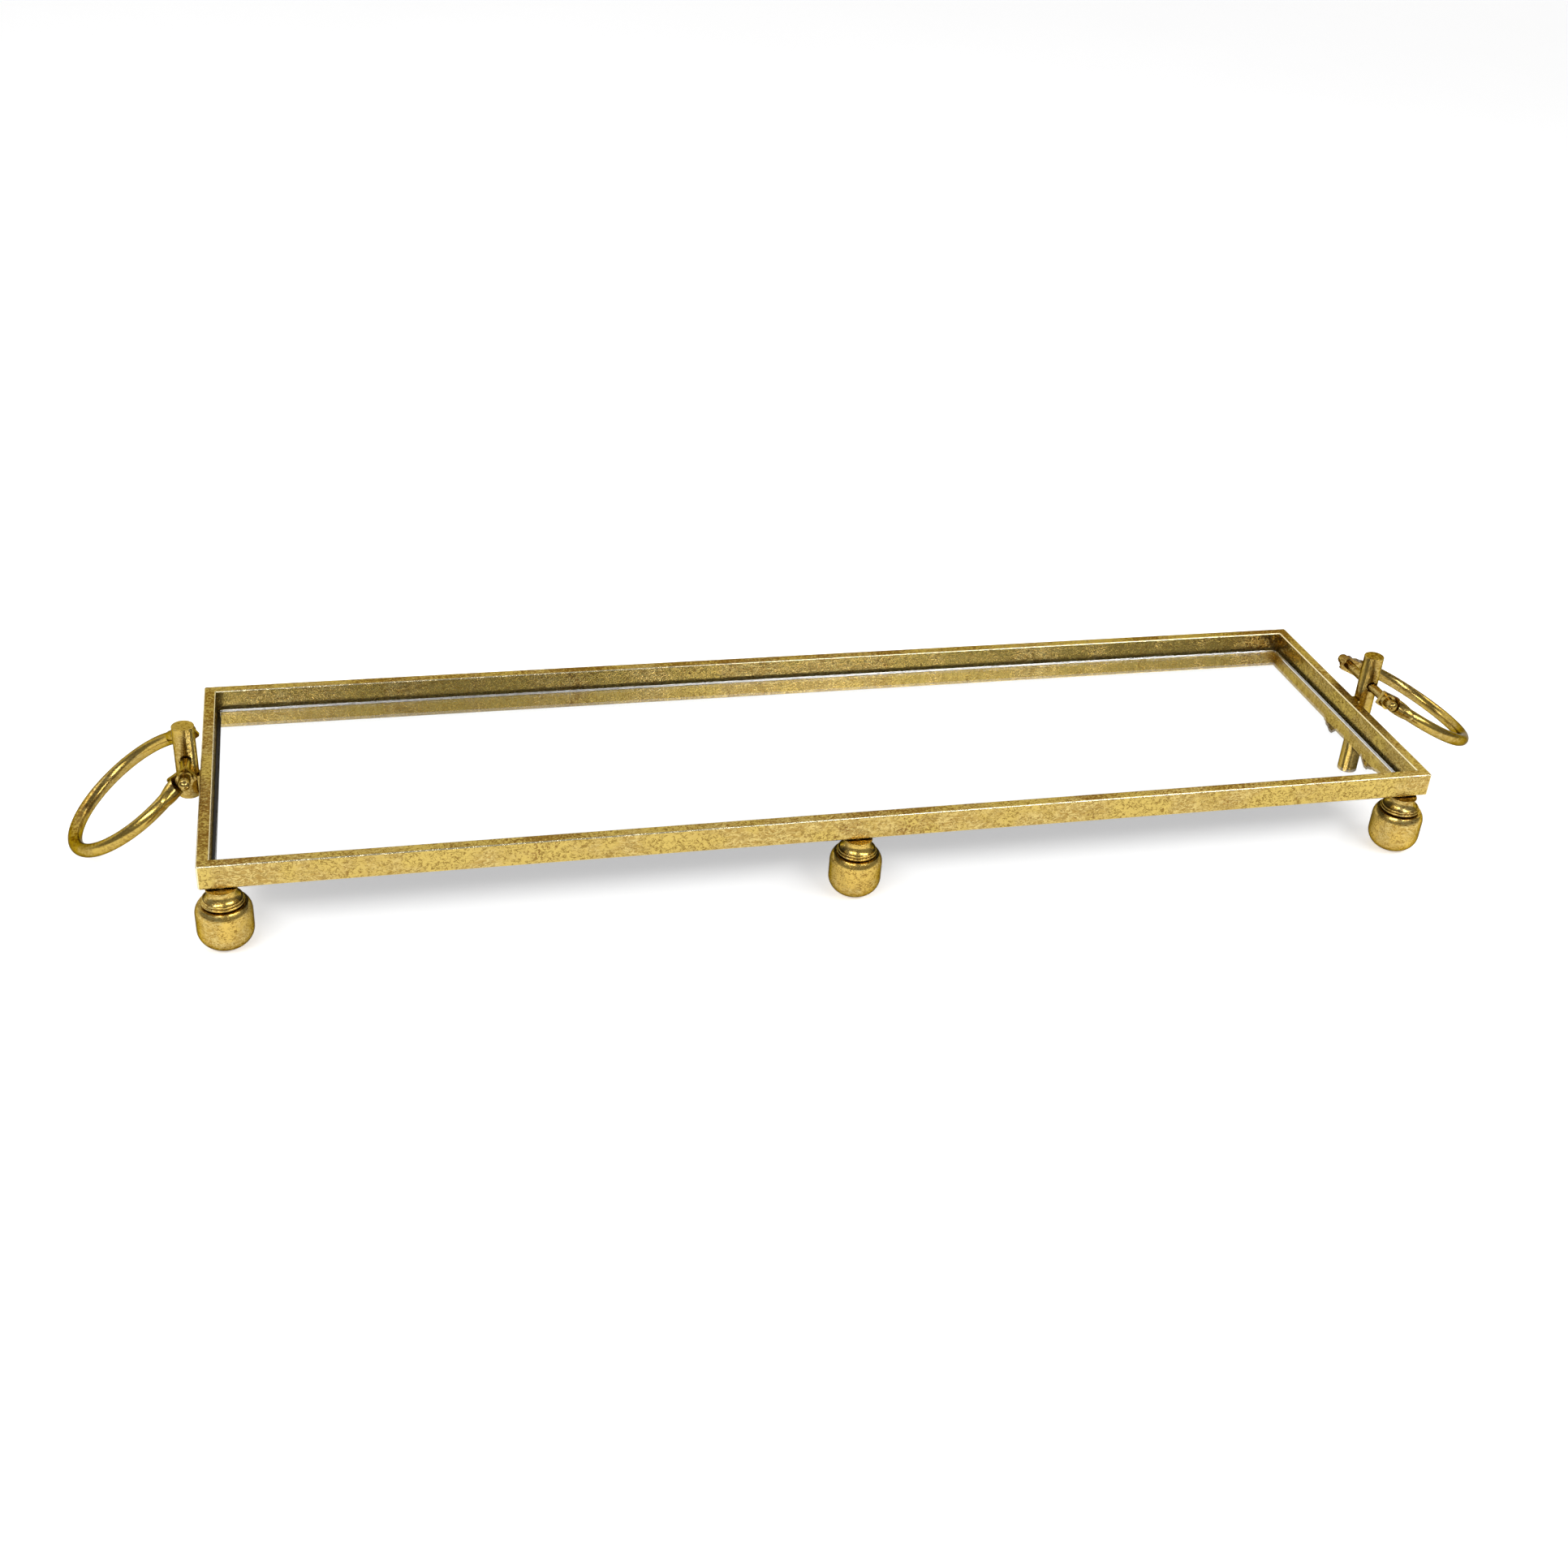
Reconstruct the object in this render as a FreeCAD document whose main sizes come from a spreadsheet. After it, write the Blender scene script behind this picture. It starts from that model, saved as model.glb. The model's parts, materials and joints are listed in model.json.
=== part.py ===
import FreeCAD, Part
import math
import os

# Mirrored serving tray on six turned feet, with a loose ring handle on a post at each end.
# Millimetres. Origin: middle of the tray, on the surface it stands on. +X right, +Y back, +Z up.

SIZES = (
    # frame
    ("TrayLength", 700),
    ("TrayWidth", 194),
    ("RailWidth", 6.6),
    ("RailHeight", 14.2),
    ("RailTop", 50),
    ("CornerRadius", 1.2),
    ("TopEdgeRadius", 0.8),
    ("BottomEdgeRadius", 1.1),
    # floor of the tray
    ("SheetThickness", 0.6),
    ("SheetInset", 2),
    ("SheetCornerRadius", 3),
    ("SilverThickness", 0.3),
    ("GlassThickness", 2.7),
    ("GlassGap", 1.6),
    ("GlassArris", 0.5),
    # feet
    ("LeftFootInset", 11.4),
    ("RightFootInset", 13.8),
    ("CollarRadius", 8.2),
    ("CollarThickness", 1),
    ("CollarEdgeRadius", 0.45),
    ("NeckRadius", 7.2),
    ("NeckHeight", 5.8),
    ("CoveRadius", 7.1),
    ("FlareRadius", 10.2),
    ("UpperBeadRadius", 0.75),
    ("UpperBeadCircle", 9.9),
    ("UpperBeadHeight", 28.35),
    ("LowerBeadRadius", 0.85),
    ("LowerBeadCircle", 10.35),
    ("LowerBeadHeight", 26.85),
    ("GrooveRadius", 9.8),
    ("BallRadius", 14.7),
    ("BallRimHeight", 25.6),
    ("BallFullHeight", 29),
    ("BallShoulderRadius", 9),
    ("BallBottomRadius", 10.5),
    ("StudRadius", 2),
    ("StudInRail", 8),
    ("StudInFoot", 16),
    ("StudPlay", 0.05),
    # posts
    ("PostRadius", 6.05),
    ("LeftPostGap", 0.4),
    ("RightPostGap", 1.7),
    ("PostAbove", 28.6),
    ("PostEdgeRadius", 0.5),
    ("BoreRadius", 2.87),
    ("BoreMouthRadius", 3.6),
    ("BoreMouthDepth", 2),
    ("WeldWidth", 7),
    ("WeldTopDrop", 1.5),
    ("WeldHeight", 11),
    # pins and rivet heads
    ("PinAbove", 9.5),
    ("PinRadius", 2.8),
    ("HeadRadius", 3.2),
    ("HeadBoss", 4.1),
    ("RivetWasherRadius", 4.6),
    ("RivetWasherThickness", 2.7),
    ("RivetPlay", 0.1),
    # rings
    ("RingRadius", 40.9),
    ("RingCentreDistance", 36.6),
    ("RingBarRadius", 3.8),
    ("RingEndAngle", 142.5),
    ("FlareHalfLength", 14),
    ("FlareHalfWidth", 4.7),
    ("FlareHalfDepth", 4.5),
    ("FlareAngle", 137),
    ("TabMiddle", 23.6),
    ("TabThickness", 2.6),
    ("TabWidth", 9.2),
    ("TabBeyondPin", 4.8),
    ("TabTowardsRing", 8),
    ("TabCornerRadius", 0.8),
    ("ShoulderDistance", 5),
    ("TabHoleRadius", 2.85),
    # how the handles lie at rest
    ("RingOffset", 1),
    ("LeftRingDrop", 36),
    ("RightRingDrop", 26.8),
)

VALUES = dict(SIZES)
X_AXIS = FreeCAD.Vector(1, 0, 0)
Y_AXIS = FreeCAD.Vector(0, 1, 0)
Z_AXIS = FreeCAD.Vector(0, 0, 1)
ALONG_Y = FreeCAD.Rotation(X_AXIS, -90)
CUT_MARGIN = 10

RAIL_BOTTOM = "(Sizes.RailTop - Sizes.RailHeight)"
SHEET_BOTTOM = f"({RAIL_BOTTOM} - Sizes.SheetThickness)"
COLLAR_BOTTOM = f"({SHEET_BOTTOM} - Sizes.CollarThickness)"
NECK_BOTTOM = f"({COLLAR_BOTTOM} - Sizes.NeckHeight)"
PIN_HEIGHT = "(Sizes.RailTop + Sizes.PinAbove)"
POST_X = {
    "left": "(-Sizes.TrayLength / 2 - Sizes.LeftPostGap - Sizes.PostRadius)",
    "right": "(Sizes.TrayLength / 2 + Sizes.RightPostGap + Sizes.PostRadius)",
}
FOOT_Y = "(Sizes.TrayWidth / 2 - Sizes.RailWidth / 2)"

doc = FreeCAD.newDocument("Tray")
sheet = doc.addObject("Spreadsheet::Sheet", "Sizes")
for row, (alias, value) in enumerate(SIZES, start=1):
    sheet.set(f"A{row}", alias)
    sheet.set(f"B{row}", str(value))
    sheet.setAlias(f"B{row}", alias)
doc.recompute()


def bind(thing, formulas):
    """Tie properties of one object to cells of the sheet."""
    for prop, formula in formulas.items():
        thing.setExpression(prop, formula)
    return thing


def place(thing, x="0", y="0", z="0", rotation=None):
    """Turn an object, then tie its position to the sheet."""
    if rotation is not None:
        thing.Placement = FreeCAD.Placement(FreeCAD.Vector(), rotation)
    return bind(thing, {
        "Placement.Base.x": x,
        "Placement.Base.y": y,
        "Placement.Base.z": z,
    })


def box(name, length, width, height, x, y, z):
    solid = doc.addObject("Part::Box", name)
    bind(solid, {"Length": length, "Width": width, "Height": height})
    return place(solid, x, y, z)


def cylinder(name, radius, height, x="0", y="0", z="0", rotation=None):
    solid = doc.addObject("Part::Cylinder", name)
    bind(solid, {"Radius": radius, "Height": height})
    return place(solid, x, y, z, rotation)


def sphere(name, radius, x="0", y="0", z="0"):
    solid = doc.addObject("Part::Sphere", name)
    bind(solid, {"Radius": radius})
    return place(solid, x, y, z)


def torus(name, circle, radius, x="0", y="0", z="0", rotation=None):
    solid = doc.addObject("Part::Torus", name)
    bind(solid, {"Radius1": circle, "Radius2": radius})
    return place(solid, x, y, z, rotation)


def cut(name, base, tool):
    result = doc.addObject("Part::Cut", name)
    result.Base = base
    result.Tool = tool
    return result


def common(name, base, tool):
    result = doc.addObject("Part::Common", name)
    result.Base = base
    result.Tool = tool
    return result


def fuse(name, shapes):
    result = doc.addObject("Part::MultiFuse", name)
    result.Shapes = shapes
    return result


def edges_where(thing, test):
    """Numbers of the edges whose middle point and direction pass a test."""
    doc.recompute()
    found = []
    for number, edge in enumerate(thing.Shape.Edges, start=1):
        middle = edge.valueAt((edge.FirstParameter + edge.LastParameter) / 2)
        along = edge.tangentAt((edge.FirstParameter + edge.LastParameter) / 2)
        if test(middle, along):
            found.append(number)
    return found


def fillet(name, base, size_name, test):
    """Round the edges that pass a test, by one radius of the sheet."""
    result = doc.addObject("Part::Fillet", name)
    result.Base = base
    radius = VALUES[size_name]
    result.Edges = [(number, radius, radius) for number in edges_where(base, test)]
    return result


def label(thing, name):
    thing.Label = name
    return thing


def is_near(a, b):
    return abs(a - b) < 0.01


# ---- frame: one rounded blank, mitred into four rails --------------------------------

def frame_blank():
    outer = box(
        "FrameOuter", "Sizes.TrayLength", "Sizes.TrayWidth", "Sizes.RailHeight",
        "-Sizes.TrayLength / 2", "-Sizes.TrayWidth / 2", RAIL_BOTTOM,
    )
    inner = box(
        "FrameInner",
        "Sizes.TrayLength - 2 * Sizes.RailWidth",
        "Sizes.TrayWidth - 2 * Sizes.RailWidth",
        "Sizes.RailHeight * 2",
        "Sizes.RailWidth - Sizes.TrayLength / 2",
        "Sizes.RailWidth - Sizes.TrayWidth / 2",
        f"{RAIL_BOTTOM} - Sizes.RailHeight / 2",
    )
    blank = cut("FrameSquare", outer, inner)
    half_length = VALUES["TrayLength"] / 2
    half_width = VALUES["TrayWidth"] / 2
    top = VALUES["RailTop"]
    bottom = top - VALUES["RailHeight"]

    def is_outer_corner(middle, along):
        upright = abs(along.z) > 0.99
        return upright and is_near(abs(middle.x), half_length) and is_near(abs(middle.y), half_width)

    def is_top_edge(middle, along):
        return is_near(middle.z, top)

    def is_bottom_outer_edge(middle, along):
        outside = (
            abs(middle.x) > half_length - VALUES["CornerRadius"]
            or abs(middle.y) > half_width - VALUES["CornerRadius"]
        )
        return is_near(middle.z, bottom) and outside

    blank = fillet("FrameCorners", blank, "CornerRadius", is_outer_corner)
    blank = fillet("FrameBottomEdges", blank, "BottomEdgeRadius", is_bottom_outer_edge)
    return fillet("FrameTopEdges", blank, "TopEdgeRadius", is_top_edge)


def mitre_wedge(name, reach, half_span, turn):
    """A prism with 45 degree ends that keeps one side of the frame."""
    wedge = doc.addObject("Part::Wedge", name)
    depth = "(3 * Sizes.RailWidth)"
    bind(wedge, {
        "Ymin": f"-{reach} - {CUT_MARGIN}",
        "Xmin": f"-{half_span} - {CUT_MARGIN}",
        "Xmax": f"{half_span} + {CUT_MARGIN}",
        "Ymax": f"-{reach} + {depth}",
        "X2min": f"-{half_span} + {depth}",
        "X2max": f"{half_span} - {depth}",
        "Zmin": "0",
        "Z2min": "0",
        "Zmax": "2 * Sizes.RailTop",
        "Z2max": "2 * Sizes.RailTop",
    })
    wedge.Placement = FreeCAD.Placement(FreeCAD.Vector(), FreeCAD.Rotation(Z_AXIS, turn))
    return wedge


def stud_holes(name, places):
    """Clearance holes for the foot studs, in a column through frame, sheet and feet."""
    drills = []
    for number, (x, y) in enumerate(places):
        drills.append(cylinder(
            f"{name}Drill{number}",
            "Sizes.StudRadius + Sizes.StudPlay",
            "Sizes.StudInRail + Sizes.SheetThickness + Sizes.CollarThickness + Sizes.StudInFoot"
            " + 2 * Sizes.StudPlay",
            x, y, f"{RAIL_BOTTOM} - Sizes.SheetThickness - Sizes.CollarThickness"
            " - Sizes.StudInFoot - Sizes.StudPlay",
        ))
    return drills[0] if len(drills) == 1 else fuse(name, drills)


FRONT_FEET = (
    ("left", "(Sizes.LeftFootInset - Sizes.TrayLength / 2)"),
    ("middle", "0"),
    ("right", "(Sizes.TrayLength / 2 - Sizes.RightFootInset)"),
)
SIDES = (("front", f"-{FOOT_Y}", 0), ("back", FOOT_Y, 180))


def long_rails(blank):
    for side, y, turn in SIDES:
        wedge = mitre_wedge(f"Wedge_{side}", "Sizes.TrayWidth / 2", "Sizes.TrayLength / 2", turn)
        rail = common(f"Mitred_{side}", blank, wedge)
        holes = stud_holes(f"RailHoles_{side}", [(x, y) for _, x in FRONT_FEET])
        label(cut(f"Rail_{side}", rail, holes), f"{side}_rail")


def end_rails(blank):
    for side, turn in (("right", 90), ("left", 270)):
        wedge = mitre_wedge(f"Wedge_{side}", "Sizes.TrayLength / 2", "Sizes.TrayWidth / 2", turn)
        label(common(f"Rail_{side}", blank, wedge), f"{side}_rail")


# ---- base sheet, silver and glass ----------------------------------------------------

def centred_plate(name, length, width, thickness, bottom):
    return box(name, length, width, thickness, f"-({length}) / 2", f"-({width}) / 2", bottom)


def base_sheet():
    plate = centred_plate(
        "SheetPlate",
        "Sizes.TrayLength - 2 * Sizes.SheetInset",
        "Sizes.TrayWidth - 2 * Sizes.SheetInset",
        "Sizes.SheetThickness",
        SHEET_BOTTOM,
    )
    rounded = fillet("SheetRounded", plate, "SheetCornerRadius", lambda middle, along: abs(along.z) > 0.99)
    holes = stud_holes("SheetHoles", [(x, y) for _, y, _ in SIDES for _, x in FRONT_FEET])
    label(cut("Sheet", rounded, holes), "base_sheet")


def mirror():
    length = "Sizes.TrayLength - 2 * Sizes.RailWidth - 2 * Sizes.GlassGap"
    width = "Sizes.TrayWidth - 2 * Sizes.RailWidth - 2 * Sizes.GlassGap"
    silver = centred_plate("Silver", length, width, "Sizes.SilverThickness", RAIL_BOTTOM)
    label(silver, "mirror_silver")
    glass_bottom = f"{RAIL_BOTTOM} + Sizes.SilverThickness"
    plate = centred_plate("GlassPlate", length, width, "Sizes.GlassThickness", glass_bottom)
    top = (
        VALUES["RailTop"] - VALUES["RailHeight"] + VALUES["SilverThickness"] + VALUES["GlassThickness"]
    )
    glass = doc.addObject("Part::Chamfer", "Glass")
    glass.Base = plate
    arris = VALUES["GlassArris"]
    top_edges = edges_where(plate, lambda middle, along: is_near(middle.z, top))
    glass.Edges = [(number, arris, arris) for number in top_edges]
    label(glass, "mirror_glass")


# ---- feet ----------------------------------------------------------------------------

def collar(name, x, y):
    disc = cylinder(f"{name}Disc", "Sizes.CollarRadius", "Sizes.CollarThickness", x, y, COLLAR_BOTTOM)
    rounded = fillet(f"{name}Rounded", disc, "CollarEdgeRadius", lambda middle, along: abs(along.z) < 0.01)
    return cut(name, rounded, stud_holes(f"{name}Hole", [(x, y)]))


def turned_foot(name, x, y):
    """Coved neck, two beads, a groove and a barrel-shaped ball, turned in one piece."""
    neck_blank = cylinder(f"{name}NeckBlank", "Sizes.FlareRadius", "Sizes.NeckHeight", x, y, NECK_BOTTOM)
    cove = torus(
        f"{name}Cove", "Sizes.NeckRadius + Sizes.CoveRadius", "Sizes.CoveRadius", x, y, COLLAR_BOTTOM
    )
    neck = cut(f"{name}Neck", neck_blank, cove)
    ball_blank = cylinder(f"{name}BallBlank", "Sizes.BallRadius", "Sizes.BallFullHeight", x, y, "0")
    bottom_round = fillet(
        f"{name}BallBottom", ball_blank, "BallBottomRadius",
        lambda middle, along: is_near(middle.z, 0) and abs(along.z) < 0.01,
    )
    full_ball = fillet(
        f"{name}FullBall", bottom_round, "BallShoulderRadius",
        lambda middle, along: is_near(middle.z, VALUES["BallFullHeight"]),
    )
    below_rim = cylinder(f"{name}BelowRim", "2 * Sizes.BallRadius", "Sizes.BallRimHeight", x, y, "0")
    groove_start = "(Sizes.BallRimHeight - Sizes.UpperBeadRadius)"
    solid = fuse(f"{name}Turned", [
        neck,
        torus(f"{name}UpperBead", "Sizes.UpperBeadCircle", "Sizes.UpperBeadRadius", x, y, "Sizes.UpperBeadHeight"),
        torus(f"{name}LowerBead", "Sizes.LowerBeadCircle", "Sizes.LowerBeadRadius", x, y, "Sizes.LowerBeadHeight"),
        cylinder(
            f"{name}Groove", "Sizes.GrooveRadius", f"{NECK_BOTTOM} - {groove_start}", x, y, groove_start
        ),
        common(f"{name}Ball", full_ball, below_rim),
    ])
    return cut(name, solid, stud_holes(f"{name}Hole", [(x, y)]))


def feet():
    studs = []
    for side, y, _ in SIDES:
        for end, x in FRONT_FEET:
            tag = f"{side}_{end}"
            label(collar(f"Collar_{tag}", x, y), f"{tag}_foot_collar")
            label(turned_foot(f"Foot_{tag}", x, y), f"{tag}_foot")
            studs.append(cylinder(
                f"Stud_{tag}",
                "Sizes.StudRadius",
                "Sizes.StudInRail + Sizes.SheetThickness + Sizes.CollarThickness + Sizes.StudInFoot",
                x, y, f"{COLLAR_BOTTOM} - Sizes.StudInFoot",
            ))
    group = doc.addObject("Part::Compound", "Studs")
    group.Links = studs
    label(group, "foot_studs")


# ---- posts ---------------------------------------------------------------------------

def post(side):
    """Round post beside the end rail, cross-bored for the pin."""
    x = POST_X[side]
    bar = cylinder(
        f"PostBar_{side}", "Sizes.PostRadius", "Sizes.RailHeight + Sizes.PostAbove", x, "0", RAIL_BOTTOM
    )
    rounded = fillet(f"PostRounded_{side}", bar, "PostEdgeRadius", lambda middle, along: abs(along.z) < 0.01)
    bore = cylinder(
        f"Bore_{side}", "Sizes.BoreRadius", "4 * Sizes.PostRadius",
        x, "-2 * Sizes.PostRadius", PIN_HEIGHT, ALONG_Y,
    )
    mouths = []
    mouth_starts = {
        "front": "-2 * Sizes.PostRadius",
        "back": "Sizes.PostRadius - Sizes.BoreMouthDepth",
    }
    for face, start in mouth_starts.items():
        mouths.append(cylinder(
            f"Mouth_{side}_{face}", "Sizes.BoreMouthRadius", "Sizes.PostRadius + Sizes.BoreMouthDepth",
            x, start, PIN_HEIGHT, ALONG_Y,
        ))
    drill = fuse(f"PostDrill_{side}", [bore] + mouths)
    label(cut(f"Post_{side}", rounded, drill), f"{side}_post")


def post_weld(side, sign):
    """Bead that fills the gap between post and end rail, hollowed to the post's round."""
    reach = f"(Sizes.{side.capitalize()}PostGap + Sizes.PostRadius / 2)"
    start = "Sizes.TrayLength / 2" if sign > 0 else f"-Sizes.TrayLength / 2 - {reach}"
    bead = box(
        f"WeldBead_{side}", reach, "Sizes.WeldWidth", "Sizes.WeldHeight",
        start, "-Sizes.WeldWidth / 2", "Sizes.RailTop - Sizes.WeldTopDrop - Sizes.WeldHeight",
    )
    hollow = cylinder(
        f"WeldHollow_{side}", "Sizes.PostRadius", "2 * Sizes.RailTop", POST_X[side], "0", "0"
    )
    label(cut(f"Weld_{side}", bead, hollow), f"{side}_post_weld")


# ---- pins, riveted at both ends -------------------------------------------------------

WASHER_START = "(Sizes.TabMiddle + Sizes.TabThickness / 2 + Sizes.RivetPlay)"
HEAD_START = f"({WASHER_START} + Sizes.RivetWasherThickness)"
DOME_MIDDLE = f"({HEAD_START} + Sizes.HeadBoss)"


def pin(side):
    x = POST_X[side]
    shaft = cylinder(
        f"PinShaft_{side}", "Sizes.PinRadius", f"2 * {HEAD_START}",
        x, f"Sizes.RingOffset - {HEAD_START}", PIN_HEIGHT, ALONG_Y,
    )
    pieces = [shaft]
    boss_starts = {"front": f"-{DOME_MIDDLE}", "back": HEAD_START}
    for face, start in boss_starts.items():
        pieces.append(cylinder(
            f"PinBoss_{side}_{face}", "Sizes.HeadRadius", "Sizes.HeadBoss",
            x, f"Sizes.RingOffset + {start}", PIN_HEIGHT, ALONG_Y,
        ))
    for face, middle in (("front", f"-{DOME_MIDDLE}"), ("back", DOME_MIDDLE)):
        pieces.append(sphere(
            f"PinDome_{side}_{face}", "Sizes.HeadRadius", x, f"Sizes.RingOffset + {middle}", PIN_HEIGHT
        ))
    label(fuse(f"Pin_{side}", pieces), f"{side}_pin")


def rivet_washers(side):
    starts = {
        "front": f"-{WASHER_START} - Sizes.RivetWasherThickness",
        "back": WASHER_START,
    }
    x = POST_X[side]
    for face, start in starts.items():
        disc = cylinder(
            f"WasherDisc_{side}_{face}", "Sizes.RivetWasherRadius", "Sizes.RivetWasherThickness",
            x, f"Sizes.RingOffset + {start}", PIN_HEIGHT, ALONG_Y,
        )
        hole = cylinder(
            f"WasherHole_{side}_{face}", "Sizes.TabHoleRadius", "Sizes.TrayWidth",
            x, "-Sizes.TrayWidth / 2", PIN_HEIGHT, ALONG_Y,
        )
        label(cut(f"Washer_{side}_{face}", disc, hole), f"{side}_{face}_rivet_washer")


# ---- rings: built lying flat, pin axis on Y, the ring reaching out along +X ------------

TAB_INNER = "(Sizes.TabMiddle - Sizes.TabThickness / 2)"
TAB_OUTER = "(Sizes.TabMiddle + Sizes.TabThickness / 2)"


def ring_bar(side):
    """Round bar bent to most of a circle, swelling towards its two ends."""
    bar = torus(
        f"RingBar_{side}", "Sizes.RingRadius", "Sizes.RingBarRadius", "Sizes.RingCentreDistance", "0", "0",
        FreeCAD.Rotation(Z_AXIS, -VALUES["RingEndAngle"]),
    )
    bind(bar, {"Angle3": "2 * Sizes.RingEndAngle"})
    pieces = [bar]
    for sign in (-1, 1):
        angle = sign * VALUES["FlareAngle"]
        flare = doc.addObject("Part::Ellipsoid", f"Flare_{side}_{'front' if sign < 0 else 'back'}")
        bind(flare, {
            "Radius1": "Sizes.FlareHalfWidth",
            "Radius2": "Sizes.FlareHalfLength",
            "Radius3": "Sizes.FlareHalfDepth",
        })
        flare.Angle1 = -90
        place(
            flare,
            f"Sizes.RingCentreDistance + Sizes.RingRadius * cos({angle})",
            f"Sizes.RingRadius * sin({angle})",
            "0",
            FreeCAD.Rotation(Z_AXIS, angle - sign * 90),
        )
        pieces.append(flare)
    return fuse(f"RingBlank_{side}", pieces)


def ring_trims(side):
    """What is milled away beside the tabs: all of it inside, and outside up to the shoulder."""
    wide = "4 * Sizes.TabWidth"
    low = "-2 * Sizes.TabWidth"
    inside = box(
        f"TrimInside_{side}", "Sizes.RingCentreDistance / 2", f"2 * {TAB_INNER}", wide,
        "-Sizes.TabBeyondPin", f"-{TAB_INNER}", low,
    )
    trims = [inside]
    for face, start in (("front", f"-{TAB_OUTER} - Sizes.RingRadius"), ("back", TAB_OUTER)):
        trims.append(box(
            f"TrimOutside_{side}_{face}", "4 * Sizes.ShoulderDistance", "Sizes.RingRadius", wide,
            "-3 * Sizes.ShoulderDistance", start, low,
        ))
    return fuse(f"RingTrims_{side}", trims)


def ring_tab(side, face, start):
    """Flat square plate at the end of the bar."""
    plate = box(
        f"TabPlate_{side}_{face}",
        "Sizes.TabBeyondPin + Sizes.TabTowardsRing", "Sizes.TabThickness", "Sizes.TabWidth",
        "-Sizes.TabBeyondPin", start, "-Sizes.TabWidth / 2",
    )

    def is_free_corner(middle, along):
        return abs(along.y) > 0.99 and is_near(middle.x, -VALUES["TabBeyondPin"])

    return fillet(f"Tab_{side}_{face}", plate, "TabCornerRadius", is_free_corner)


def ring(side, sign, drop):
    trimmed = cut(f"RingTrimmed_{side}", ring_bar(side), ring_trims(side))
    solid = fuse(f"RingSolid_{side}", [
        trimmed,
        ring_tab(side, "front", f"-{TAB_OUTER}"),
        ring_tab(side, "back", TAB_INNER),
    ])
    hole = cylinder(
        f"TabHoles_{side}", "Sizes.TabHoleRadius", "Sizes.TrayWidth", "0", "-Sizes.TrayWidth / 2", "0",
        ALONG_Y,
    )
    flat = cut(f"Ring_{side}", solid, hole)
    facing = FreeCAD.Rotation(Z_AXIS, 0 if sign > 0 else 180)
    tilt = FreeCAD.Rotation(Y_AXIS, sign * drop)
    place(flat, POST_X[side], "Sizes.RingOffset", PIN_HEIGHT, tilt.multiply(facing))
    label(flat, f"{side}_ring")


# ---- build ---------------------------------------------------------------------------

blank = frame_blank()
long_rails(blank)
end_rails(blank)
base_sheet()
mirror()
feet()
HANDLES = (("left", -1, VALUES["LeftRingDrop"]), ("right", 1, VALUES["RightRingDrop"]))
for side, sign, drop in HANDLES:
    post(side)
    post_weld(side, sign)
    pin(side)
    rivet_washers(side)
    ring(side, sign, drop)
doc.recompute()

# ---- check and write -----------------------------------------------------------------

NODE_NAMES = [f"{side}_rail" for side in ("front", "back", "left", "right")]
NODE_NAMES += ["base_sheet", "mirror_silver", "mirror_glass", "foot_studs"]
for side, _, _ in SIDES:
    for end, _ in FRONT_FEET:
        NODE_NAMES += [f"{side}_{end}_foot", f"{side}_{end}_foot_collar"]
for side, _, _ in HANDLES:
    NODE_NAMES += [f"{side}_post", f"{side}_post_weld", f"{side}_pin", f"{side}_ring"]
    NODE_NAMES += [f"{side}_front_rivet_washer", f"{side}_back_rivet_washer"]

for thing in doc.Objects:
    if "Invalid" in thing.State or "Error" in thing.State:
        raise RuntimeError(f"{thing.Name} did not build: {thing.State}")

os.makedirs("parts", exist_ok=True)
for name in NODE_NAMES:
    found = doc.getObjectsByLabel(name)
    if len(found) != 1:
        raise RuntimeError(f"{name} is the label of {len(found)} objects")
    shape = found[0].Shape
    if shape.isNull() or not shape.isValid():
        raise RuntimeError(f"{name} has no valid shape")
    limits = shape.BoundBox
    print(
        f"{name:28s} {len(shape.Solids)} solid {shape.Volume / 1000:9.2f} cm3 "
        f"x {limits.XMin:8.2f} {limits.XMax:8.2f} y {limits.YMin:8.2f} {limits.YMax:8.2f} "
        f"z {limits.ZMin:7.2f} {limits.ZMax:7.2f}"
    )
    shape.exportStep(f"parts/{name}.step")
print(f"{len(NODE_NAMES)} sub-parts written")
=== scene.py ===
import json
import math

import bpy
from mathutils import Matrix, Vector


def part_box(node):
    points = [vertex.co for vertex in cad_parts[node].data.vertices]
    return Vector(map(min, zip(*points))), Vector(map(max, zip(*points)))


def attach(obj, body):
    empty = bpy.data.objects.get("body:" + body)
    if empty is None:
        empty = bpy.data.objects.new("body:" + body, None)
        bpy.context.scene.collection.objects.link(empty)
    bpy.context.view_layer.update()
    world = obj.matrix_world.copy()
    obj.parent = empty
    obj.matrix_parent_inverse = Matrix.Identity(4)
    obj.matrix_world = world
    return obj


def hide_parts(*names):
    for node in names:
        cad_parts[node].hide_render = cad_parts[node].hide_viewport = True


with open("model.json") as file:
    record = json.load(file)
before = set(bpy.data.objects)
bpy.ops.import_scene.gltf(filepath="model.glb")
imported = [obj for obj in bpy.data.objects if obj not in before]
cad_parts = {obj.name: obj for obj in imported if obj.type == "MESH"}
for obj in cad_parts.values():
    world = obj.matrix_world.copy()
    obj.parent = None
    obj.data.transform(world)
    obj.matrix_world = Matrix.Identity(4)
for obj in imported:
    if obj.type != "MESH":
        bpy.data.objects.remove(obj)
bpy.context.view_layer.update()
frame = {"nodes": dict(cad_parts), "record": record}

NODES = frame["nodes"]
MM = 0.001


# ---- materials: tools ----------------------------------------------------------------

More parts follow.
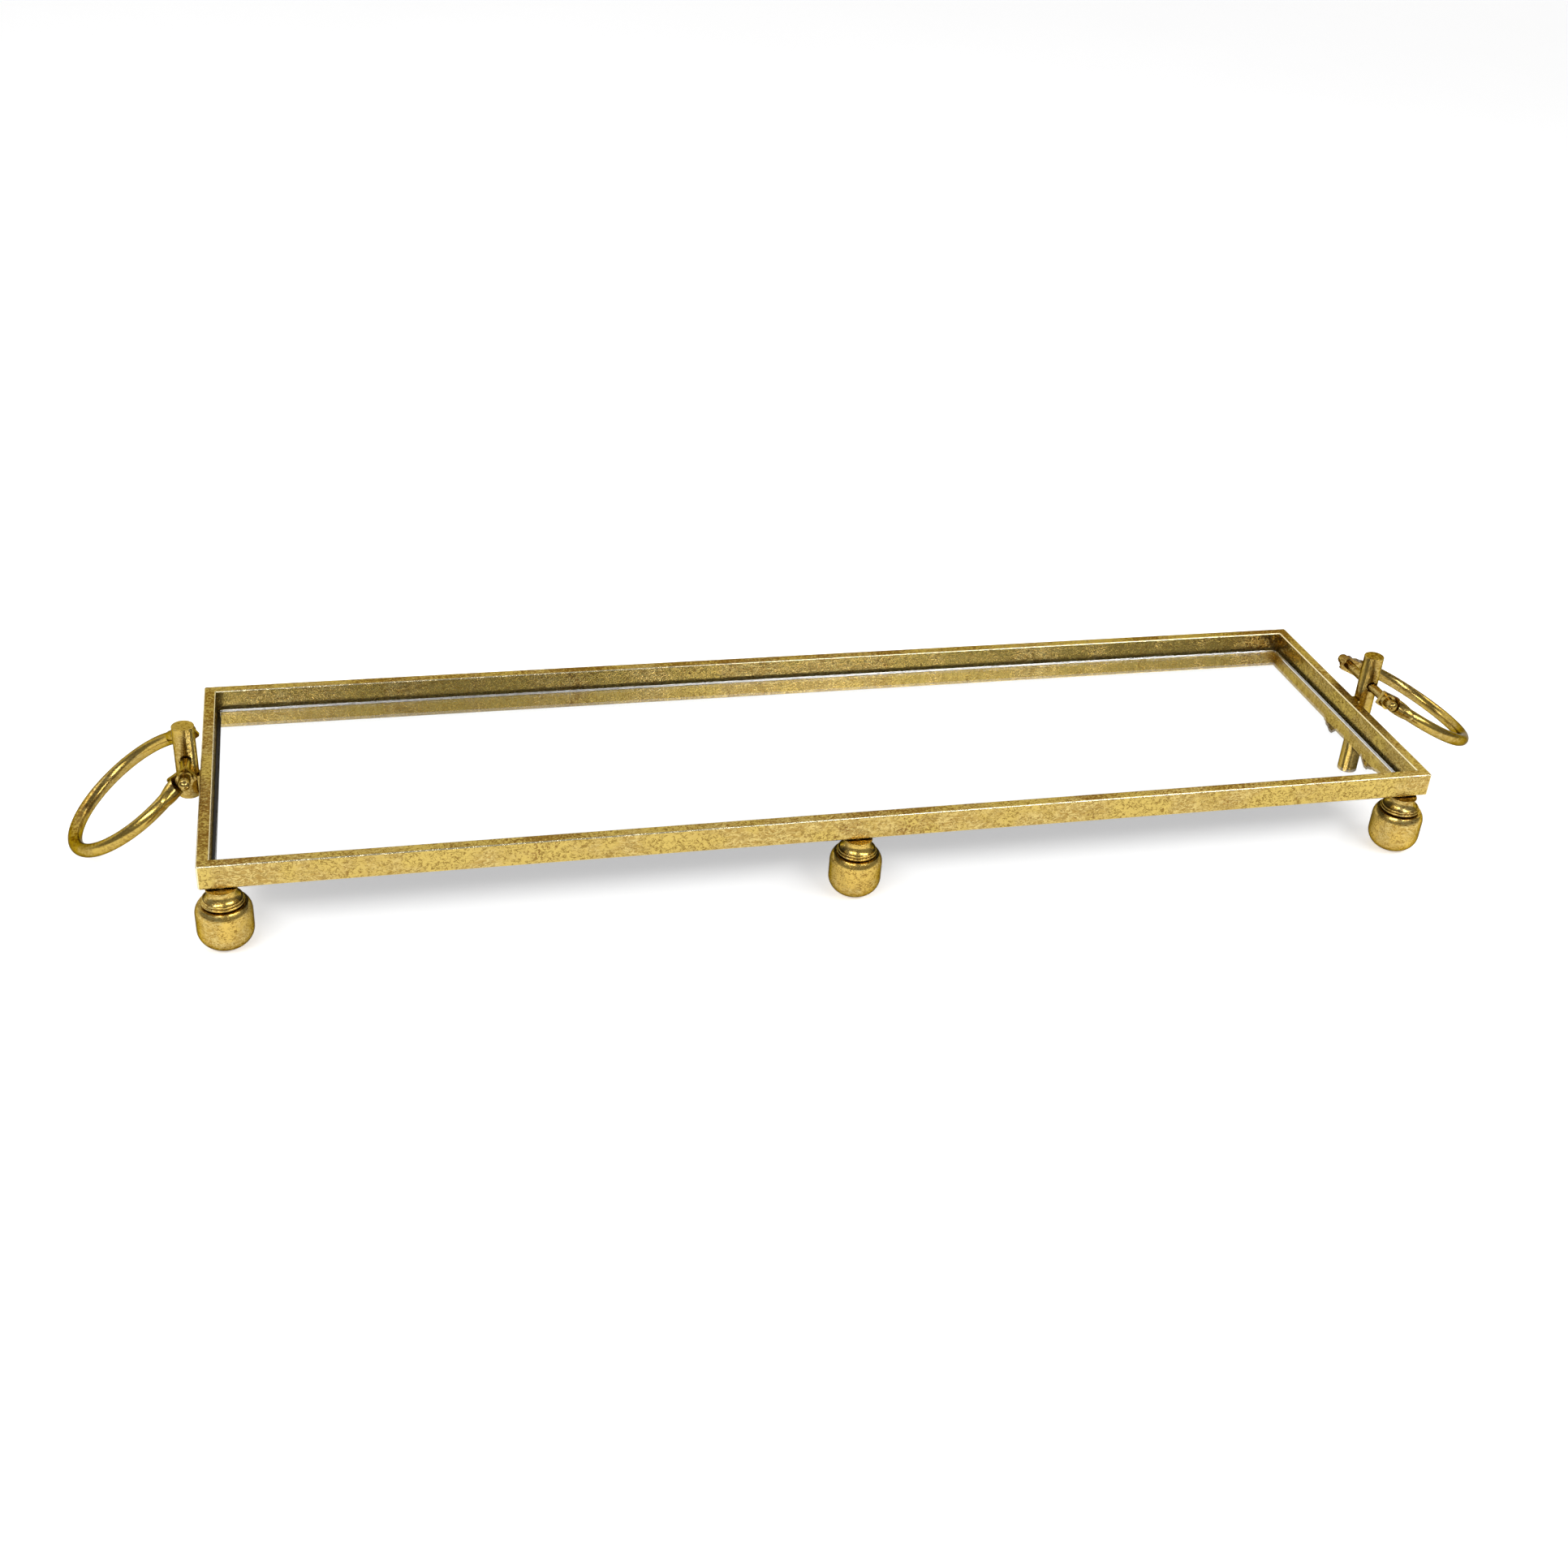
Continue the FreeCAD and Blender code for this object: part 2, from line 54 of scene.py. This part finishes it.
def linear(hex_colour):
    """sRGB hex to the linear colour that a shader takes."""
    channels = []
    for start in (0, 2, 4):
        c = int(hex_colour[start:start + 2], 16) / 255
        channels.append(c / 12.92 if c <= 0.04045 else ((c + 0.055) / 1.055) ** 2.4)
    return (*channels, 1.0)


def add(tree, kind, settings=None, links=None):
    """Adds a node with its settings, by property or socket, and the links into its sockets."""
    made = tree.nodes.new("ShaderNode" + kind)
    for key, value in (settings or {}).items():
        if isinstance(key, int) or key in made.inputs:
            made.inputs[key].default_value = value
        else:
            setattr(made, key, value)
    for key, output in (links or {}).items():
        tree.links.new(output, made.inputs[key])
    return made


def new_material(name):
    """An empty material and its output node."""
    made = bpy.data.materials.new(name)
    made.use_nodes = True
    tree = made.node_tree
    tree.nodes.clear()
    return made, tree, add(tree, "OutputMaterial")


def per_metre(millimetres):
    """Texture scale for a pattern whose features are this many millimetres apart."""
    return 1 / (millimetres * MM)


# ---- materials: gold leaf ------------------------------------------------------------

SMOOTH = {"interpolation_type": "SMOOTHSTEP"}
TIMES = {"operation": "MULTIPLY"}
TIMES_PLUS = {"operation": "MULTIPLY_ADD"}
LARGER = {"operation": "MAXIMUM"}
LESS = {"operation": "SUBTRACT"}
COLOURS = {"data_type": "RGBA"}

FOLD_HIGHLIGHT_GOLD = "ceb874"  # painted highlight along the raised folds
RUBBED_EDGE_HIGHLIGHT_GOLD = "f3e6bd"  # the edges, rubbed brighter still, with a painted highlight
RIM_SHADE_TINT = "8f8a80"  # painted shade: the reflection is darkened where a face turns away

FOLD_TURNS = ((0.3, 0.5, 0.4), (1.1, -0.6, 1.2), (-0.5, 0.9, 2.3))  # three directions that cross
FOLD_WIDTH, CURL_WIDTH, CROSS_WIDTH = 0.050, 0.055, 0.045  # as shares of the noise's range
SWAY_MM = 3.5  # how far the creases wander from straight
PATCH_EDGES = (0.40, 0.56)  # where dull leaf turns to yellow leaf
BREAK_EDGES = (0.40, 0.52)  # where the dark creases break off
WASH_EDGES = (1.14, 1.30)  # where the glaze begins and where it is full
WASH_STRENGTH = 0.70
TOP_FACE_PAINTED_SHADE = 0.17  # painted shade: more of the glaze tone on faces that look up
CREASE_ROUGHNESS = 0.12  # added inside the dark creases
RUBBED_ROUGHNESS = 0.14


def crease_lines(tree, place, turn, length_mm, width_mm, share):
    """Thin curved lines in one direction: noise drawn out along one axis, kept near its middle value."""
    laid = add(tree, "Mapping", {"vector_type": "POINT", "Rotation": turn, "Scale": (
        per_metre(length_mm), per_metre(width_mm), per_metre(width_mm),
    )}, {"Vector": place})
    fold = add(tree, "TexNoise", {"Scale": 1.0, "Detail": 0.0, "Distortion": 0.7},
               {"Vector": laid.outputs["Vector"]})
    off = add(tree, "Math", {**LESS, 1: 0.5}, {0: fold.outputs["Fac"]})
    gap = add(tree, "Math", {"operation": "ABSOLUTE"}, {0: off.outputs[0]})
    return add(tree, "MapRange", {
        **SMOOTH, "From Min": 0.5 * share, "From Max": share, "To Min": 1.0, "To Max": 0.0,
    }, {"Value": gap.outputs[0]}).outputs["Result"]


def painted_fold_highlights(tree, bent, dim, line_mm, marks):
    """A net of long folds that cross, painted with a highlight, on the dull patches only."""
    folds = [crease_lines(tree, bent, turn, 3.2 * line_mm, line_mm, FOLD_WIDTH) for turn in FOLD_TURNS]
    pair = add(tree, "Math", LARGER, {0: folds[0], 1: folds[1]}).outputs[0]
    net = add(tree, "Math", LARGER, {0: pair, 1: folds[2]}).outputs[0]
    on_dull = add(tree, "Math", TIMES, {0: net, 1: dim}).outputs[0]
    return add(tree, "Math", {**TIMES, 1: marks}, {0: on_dull}).outputs[0]


def painted_crease_shade(tree, moved, bent, yellow, line_mm, marks):
    """Short creases darkened with painted shade, broken off at random, strongest on the yellow patches."""
    curl = crease_lines(tree, bent, (0.7, 0.2, 1.7), 1.2 * line_mm, 0.8 * line_mm, CURL_WIDTH)
    cross = crease_lines(tree, bent, (1.9, 1.3, 0.2), 1.5 * line_mm, 0.7 * line_mm, CROSS_WIDTH)
    either = add(tree, "Math", LARGER, {0: curl, 1: cross}).outputs[0]
    gaps = add(tree, "TexNoise", {"Scale": per_metre(2.6), "Detail": 2.0, "Roughness": 0.6},
               {"Vector": moved})
    breaks = add(tree, "MapRange", {**SMOOTH, "From Min": BREAK_EDGES[0], "From Max": BREAK_EDGES[1]},
                 {"Value": gaps.outputs["Fac"]})
    broken = add(tree, "Math", TIMES, {0: either, 1: breaks.outputs["Result"]}).outputs[0]
    depth = add(tree, "Math", {**TIMES_PLUS, 1: 0.35 * marks, 2: 0.65 * marks}, {0: yellow}).outputs[0]
    return add(tree, "Math", TIMES, {0: broken, 1: depth}).outputs[0]


def brown_wash_and_top_shade(tree, normal, moved, bent, wash_share):
    """Freckles of glaze where a slow noise left it on, plus a painted shade in the glaze tone where a face
    looks up.
    """
    freckle = add(tree, "TexNoise", {"Scale": per_metre(1.5), "Detail": 2.0, "Roughness": 0.6},
                  {"Vector": bent}).outputs["Fac"]
    left_on = add(tree, "TexNoise", {"Scale": per_metre(45), "Detail": 1.0}, {"Vector": moved}).outputs["Fac"]
    glaze = add(tree, "Math", {**TIMES_PLUS, 1: 0.9}, {0: left_on, 2: freckle}).outputs[0]
    upward = add(tree, "SeparateXYZ", {}, {0: normal}).outputs["Z"]
    # painted shade: faces that look up take more of the wash tone
    top_shade = add(tree, "MapRange", {"From Min": 0.6, "From Max": 1.0, "To Max": TOP_FACE_PAINTED_SHADE},
                {"Value": upward}).outputs["Result"]
    # glaze plus the painted shade on upward faces
    glaze = add(tree, "Math", {"operation": "ADD"}, {0: glaze, 1: top_shade}).outputs[0]
    start, full = WASH_EDGES
    return add(tree, "MapRange", {
        **SMOOTH, "From Min": start - wash_share, "From Max": full - wash_share, "To Max": WASH_STRENGTH,
    }, {"Value": glaze}).outputs["Result"]


def rounded_edge(tree, normal):
    """1 on a flat bar's rounded edges: its faces look straight along an axis, its edges lean."""
    size = add(tree, "VectorMath", {"operation": "ABSOLUTE"}, {0: normal}).outputs["Vector"]
    sides = add(tree, "SeparateXYZ", {}, {0: size}).outputs
    squarer = add(tree, "Math", LARGER, {0: sides["X"], 1: sides["Y"]}).outputs[0]
    squarest = add(tree, "Math", LARGER, {0: squarer, 1: sides["Z"]}).outputs[0]
    return add(tree, "MapRange", {
        **SMOOTH, "From Min": 0.90, "From Max": 0.985, "To Min": 1.0, "To Max": 0.0,
    }, {"Value": squarest}).outputs["Result"]


def gold_leaf(name, tones, patch_mm, line_mm, marks, wash_share, gloss, relief_mm, seed, rubbed_edges_and_highlight=False):
    """Gold leaf laid on metal, crumpled as it was laid, rubbed back and toned with a brown wash.

    To the eye: dull patches under a net of fine folds with a painted highlight run into yellow
    patches with short creases in painted shade, the wash stays as orange-brown freckles with
    a painted shade added on faces that look up, and the gloss is soft.
    The real folds are about half as wide; they are drawn coarser to stay visible.
    """
    made, tree, out = new_material(name)
    here = add(tree, "TexCoord").outputs
    moved = add(tree, "Mapping", {"Location": (seed * 0.37, seed * 0.19, seed * 0.53)},
                {"Vector": here["Object"]}).outputs["Vector"]
    sway = add(tree, "TexNoise", {"Scale": per_metre(9), "Detail": 2.0}, {"Vector": moved})
    bent = add(tree, "VectorMath", {**TIMES_PLUS, 1: (SWAY_MM * MM,) * 3},
               {0: sway.outputs["Color"], 2: moved}).outputs["Vector"]

    patches = add(tree, "TexNoise", {"Scale": per_metre(patch_mm), "Detail": 2.0, "Roughness": 0.55},
                  {"Vector": moved}).outputs["Fac"]
    yellow = add(tree, "MapRange", {**SMOOTH, "From Min": PATCH_EDGES[0], "From Max": PATCH_EDGES[1]},
                 {"Value": patches}).outputs["Result"]
    dim = add(tree, "Math", {**LESS, 0: 1.0}, {1: yellow}).outputs[0]
    folds = painted_fold_highlights(tree, bent, dim, line_mm, marks)
    creases = painted_crease_shade(tree, moved, bent, yellow, line_mm, marks)
    # the wash mask also holds the painted shade on faces that look up
    wash = brown_wash_and_top_shade(tree, here["Normal"], moved, bent, wash_share)

    colour = add(tree, "Mix", {**COLOURS, 6: linear(tones["dull"]), 7: linear(tones["leaf"])},
                 {0: yellow}).outputs[2]
    # the folds mix in a painted highlight and the creases a painted shade
    for tone, share in ((FOLD_HIGHLIGHT_GOLD, folds), (tones["crease"], creases), (tones["wash"], wash)):
        colour = add(tree, "Mix", {**COLOURS, 7: linear(tone)}, {0: share, 6: colour}).outputs[2]
    rough = add(tree, "MapRange", {"To Min": gloss, "To Max": gloss + CREASE_ROUGHNESS},
                {"Value": creases}).outputs["Result"]
    if rubbed_edges_and_highlight:
        rubbed = rounded_edge(tree, here["Normal"])
        # painted highlight: the rounded edges are mixed towards near-white, on top of the real rubbing
        colour = add(tree, "Mix", {**COLOURS, 7: linear(RUBBED_EDGE_HIGHLIGHT_GOLD)}, {0: rubbed, 6: colour}).outputs[2]
        rough = add(tree, "Mix", {"data_type": "FLOAT", 3: RUBBED_ROUGHNESS},
                    {0: rubbed, 2: rough}).outputs[0]

    relief = add(tree, "Math", LESS, {0: folds, 1: creases}).outputs[0]
    bump = add(tree, "Bump", {"Strength": 0.5, "Distance": relief_mm * MM},
               {"Height": relief}).outputs["Normal"]
    # the specular tint is a painted shade: it darkens the reflection where a face turns away
    shader = add(tree, "BsdfPrincipled", {"Metallic": 1.0, "Specular Tint": linear(RIM_SHADE_TINT)},
                 {"Base Color": colour, "Roughness": rough, "Normal": bump})
    tree.links.new(shader.outputs["BSDF"], out.inputs["Surface"])
    return made


# Flat bar: the leaf lies in large patches, and the edges are rubbed bright and carry a painted highlight.
leafed_bar = gold_leaf(
    "gold_leaf_laid_on_steel_bar",
    {"leaf": "c2a95c", "dull": "a98c4c", "crease": "80642d", "wash": "70491d"},
    patch_mm=34, line_mm=2.2, marks=0.85, wash_share=0.05, gloss=0.26, relief_mm=0.08, seed=1,
    rubbed_edges_and_highlight=True,
)
# Turned feet: small patches that wrap the curves, a little glossier.
leafed_feet = gold_leaf(
    "gold_leaf_laid_on_turned_feet",
    {"leaf": "cbac59", "dull": "ae8f49", "crease": "826227", "wash": "6a4719"},
    patch_mm=16, line_mm=2.0, marks=0.8, wash_share=0.07, gloss=0.20, relief_mm=0.03, seed=2,
)
# Handles: worn by hands, so smoother, with fewer creases and deeper in colour.
leafed_handles = gold_leaf(
    "gold_leaf_laid_on_forged_bar",
    {"leaf": "b99d4e", "dull": "9b8040", "crease": "735625", "wash": "6a4719"},
    patch_mm=18, line_mm=2.2, marks=0.5, wash_share=0.04, gloss=0.19, relief_mm=0.03, seed=3,
)


# ---- materials: mirror and base ------------------------------------------------------

def mirror_silvering():
    """Silver deposited on the back of the glass: a clean reflection with next to no tint."""
    made, tree, out = new_material("silver_deposited_on_glass")
    here = add(tree, "TexCoord").outputs["Object"]
    depth = add(tree, "TexNoise", {"Scale": per_metre(60), "Detail": 2.0}, {"Vector": here}).outputs["Fac"]
    colour = add(tree, "Mix", {**COLOURS, 6: linear("f4f5f5"), 7: linear("fafafa")},
                 {0: depth}).outputs[2]
    shader = add(tree, "BsdfPrincipled", {"Metallic": 1.0, "Roughness": 0.012}, {"Base Color": colour})
    tree.links.new(shader.outputs["BSDF"], out.inputs["Surface"])
    return made


def float_glass():
    """Float glass with ground edges: clear through the face, grey-green where it is seen edge on."""
    made, tree, out = new_material("float_glass_with_ground_edges")
    here = add(tree, "TexCoord")
    facing = add(tree, "SeparateXYZ", {}, {0: here.outputs["Normal"]}).outputs["Z"]
    flat = add(tree, "Math", {"operation": "ABSOLUTE"}, {0: facing}).outputs[0]
    edge = add(tree, "MapRange", {"From Min": 0.4, "From Max": 0.9, "To Min": 0.35, "To Max": 0.0},
               {"Value": flat}).outputs["Result"]
    colour = add(tree, "Mix", {**COLOURS, 6: linear("ffffff"), 7: linear("9fb3a8")},
                 {0: edge}).outputs[2]
    shader = add(tree, "BsdfPrincipled", {"Transmission Weight": 1.0, "IOR": 1.52},
                 {"Base Color": colour, "Roughness": edge})
    tree.links.new(shader.outputs["BSDF"], out.inputs["Surface"])
    return made


def painted_sheet():
    """Steel sheet sprayed satin black: fine orange peel and a dull sheen."""
    made, tree, out = new_material("steel_sheet_sprayed_satin_black")
    here = add(tree, "TexCoord").outputs["Object"]
    peel = add(tree, "TexNoise", {"Scale": per_metre(1.5), "Detail": 1.0}, {"Vector": here}).outputs["Fac"]
    bump = add(tree, "Bump", {"Strength": 0.2, "Distance": 0.05 * MM}, {"Height": peel}).outputs["Normal"]
    tone = add(tree, "TexNoise", {"Scale": per_metre(45), "Detail": 3.0}, {"Vector": here}).outputs["Fac"]
    colour = add(tree, "Mix", {**COLOURS, 6: linear("17171a"), 7: linear("222225")},
                 {0: tone}).outputs[2]
    shader = add(tree, "BsdfPrincipled", {"Roughness": 0.45}, {"Base Color": colour, "Normal": bump})
    tree.links.new(shader.outputs["BSDF"], out.inputs["Surface"])
    return made


def plated_steel():
    """Zinc-plated steel: cool grey with a faint mottle."""
    made, tree, out = new_material("steel_stud_zinc_plated")
    here = add(tree, "TexCoord").outputs["Object"]
    tone = add(tree, "TexNoise", {"Scale": per_metre(1.2), "Detail": 2.0}, {"Vector": here}).outputs["Fac"]
    colour = add(tree, "Mix", {**COLOURS, 6: linear("9a9da0"), 7: linear("b9bbbd")},
                 {0: tone}).outputs[2]
    shader = add(tree, "BsdfPrincipled", {"Metallic": 1.0, "Roughness": 0.35}, {"Base Color": colour})
    tree.links.new(shader.outputs["BSDF"], out.inputs["Surface"])
    return made


SLOT_MATERIALS = {
    "gilt_frame": leafed_bar,
    "gilt_feet": leafed_feet,
    "gilt_handles": leafed_handles,
    "silvering": mirror_silvering(),
    "glass": float_glass(),
    "sheet_metal": painted_sheet(),
    "stud_steel": plated_steel(),
}
SLOT_OF = {part["node"]: part["material_slot"] for part in frame["record"]["subparts"]}
for name, node in NODES.items():
    finish = SLOT_MATERIALS[SLOT_OF[name]]
    for index in range(len(node.material_slots)):
        node.material_slots[index].link = "OBJECT"
        node.material_slots[index].material = finish
    if not node.material_slots:
        node.data.materials.append(finish)


# ---- mirror coat ---------------------------------------------------------------------

COAT_LAP = 0.05 * MM  # how far the coat reaches into the glass
COAT_INSET = 0.1 * MM  # how far it stays back from the edges of the plate
CORNER_NIP = 1.5 * MM  # the corners of the plate are nipped off


def mirror_coat():
    """The silvering as a thin layer that just reaches into the glass, so that no air shows between them."""
    low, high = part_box("mirror_silver")
    glass_low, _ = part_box("mirror_glass")
    top, bottom = glass_low.z + COAT_LAP, low.z + COAT_LAP
    outline = []
    for sx, sy in ((1, 1), (-1, 1), (-1, -1), (1, -1)):
        x = high.x - COAT_INSET if sx > 0 else low.x + COAT_INSET
        y = high.y - COAT_INSET if sy > 0 else low.y + COAT_INSET
        across, along = (x - sx * CORNER_NIP, y), (x, y - sy * CORNER_NIP)
        outline += [along, across] if sx * sy > 0 else [across, along]
    count = len(outline)
    points = [(x, y, z) for z in (bottom, top) for x, y in outline]
    faces = [tuple(reversed(range(count))), tuple(range(count, 2 * count))]
    faces += [(i, (i + 1) % count, (i + 1) % count + count, i + count) for i in range(count)]
    mesh = bpy.data.meshes.new("mirror_coat")
    mesh.from_pydata(points, [], faces)
    mesh.materials.append(SLOT_MATERIALS["silvering"])
    coat = bpy.data.objects.new("mirror_coat", mesh)
    bpy.context.scene.collection.objects.link(coat)
    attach(coat, "tray")
    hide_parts("mirror_silver")


mirror_coat()


# ---- floor, light, camera ------------------------------------------------------------

WHITE = (1.0, 1.0, 1.0, 1.0)
FLOOR_WIDTH = 40.0
FLOOR_GLOW = 0.46
ROOM_FRONT, ROOM_BACK = 0.30, 1.12  # brightness of the room before and behind the tray


def pale_floor():
    """A wide floor with a soft matte face that glows a little, as a light table does."""
    reach = FLOOR_WIDTH / 2
    corners = [(-reach, -reach, 0), (reach, -reach, 0), (reach, reach, 0), (-reach, reach, 0)]
    mesh = bpy.data.meshes.new("floor")
    mesh.from_pydata(corners, [], [(0, 1, 2, 3)])
    floor = bpy.data.objects.new("floor", mesh)
    bpy.context.scene.collection.objects.link(floor)
    made, tree, out = new_material("seamless_paper_matte_white")
    here = add(tree, "TexCoord").outputs["Object"]
    tone = add(tree, "TexNoise", {"Scale": 3.0, "Detail": 2.0}, {"Vector": here}).outputs["Fac"]
    colour = add(tree, "Mix", {**COLOURS, 6: linear("f2f2f2"), 7: linear("f6f6f6")},
                 {0: tone}).outputs[2]
    shader = add(tree, "BsdfPrincipled", {
        "Roughness": 0.8, "Specular IOR Level": 0.2,
        "Emission Color": WHITE, "Emission Strength": FLOOR_GLOW,
    }, {"Base Color": colour})
    tree.links.new(shader.outputs["BSDF"], out.inputs["Surface"])
    mesh.materials.append(made)


def softbox(name, direction, distance, width, height, power):
    """A soft rectangular light that faces the middle of the tray."""
    lamp = bpy.data.lights.new(name, "AREA")
    lamp.shape = "RECTANGLE"
    lamp.size, lamp.size_y = width, height
    lamp.energy = power
    holder = bpy.data.objects.new(name, lamp)
    toward = Vector(direction).normalized()
    holder.location = toward * distance
    holder.rotation_euler = toward.to_track_quat("Z", "Y").to_euler()
    bpy.context.scene.collection.objects.link(holder)


def room_light():
    """Bright behind the tray and dim before it, so that the metal has something dark to mirror."""
    world = bpy.data.worlds.new("studio_room")
    bpy.context.scene.world = world
    world.use_nodes = True
    tree = world.node_tree
    tree.nodes.clear()
    way = add(tree, "SeparateXYZ", {}, {0: add(tree, "TexCoord").outputs["Generated"]})
    level = add(tree, "MapRange", {
        **SMOOTH, "From Min": 0.15, "From Max": 0.6, "To Min": ROOM_FRONT, "To Max": ROOM_BACK,
    }, {"Value": way.outputs["Y"]}).outputs["Result"]
    glow = add(tree, "Background", {"Color": WHITE}, {"Strength": level})
    out = add(tree, "OutputWorld")
    tree.links.new(glow.outputs[0], out.inputs["Surface"])


def view_camera():
    """The camera stands in front, left of the middle, and looks down to the right."""
    yaw, pitch, roll = 0.26931, 0.53972, 0.07087
    place = Vector((-0.27516, -0.92958, 0.59255))
    ahead = Vector((math.sin(yaw) * math.cos(pitch), math.cos(yaw) * math.cos(pitch), -math.sin(pitch)))
    level_right = Vector((math.cos(yaw), -math.sin(yaw), 0))
    level_up = level_right.cross(ahead)
    right = level_right * math.cos(roll) + level_up * math.sin(roll)
    up = level_up * math.cos(roll) - level_right * math.sin(roll)
    camera = bpy.data.cameras.new("view")
    camera.lens = 43.21
    camera.sensor_width = 36.0
    camera.clip_start, camera.clip_end = 0.05, 100.0
    holder = bpy.data.objects.new("view", camera)
    turn = Matrix((right, up, -ahead)).transposed().to_4x4()
    holder.matrix_world = Matrix.Translation(place) @ turn
    bpy.context.scene.collection.objects.link(holder)
    bpy.context.scene.camera = holder


pale_floor()
room_light()
softbox("softbox_over_left", (-0.56, 0.33, 0.76), 1.8, 0.5, 0.85, 4)
softbox("softbox_over_right", (0.56, 0.33, 0.76), 1.8, 0.5, 0.85, 4)
softbox("softbox_front_left", (-0.50, -0.57, 0.66), 1.7, 1.1, 0.25, 10)
softbox("softbox_front_right", (0.47, -0.57, 0.67), 1.7, 1.3, 0.25, 11)
view_camera()
bpy.context.scene.view_settings.view_transform = "Standard"
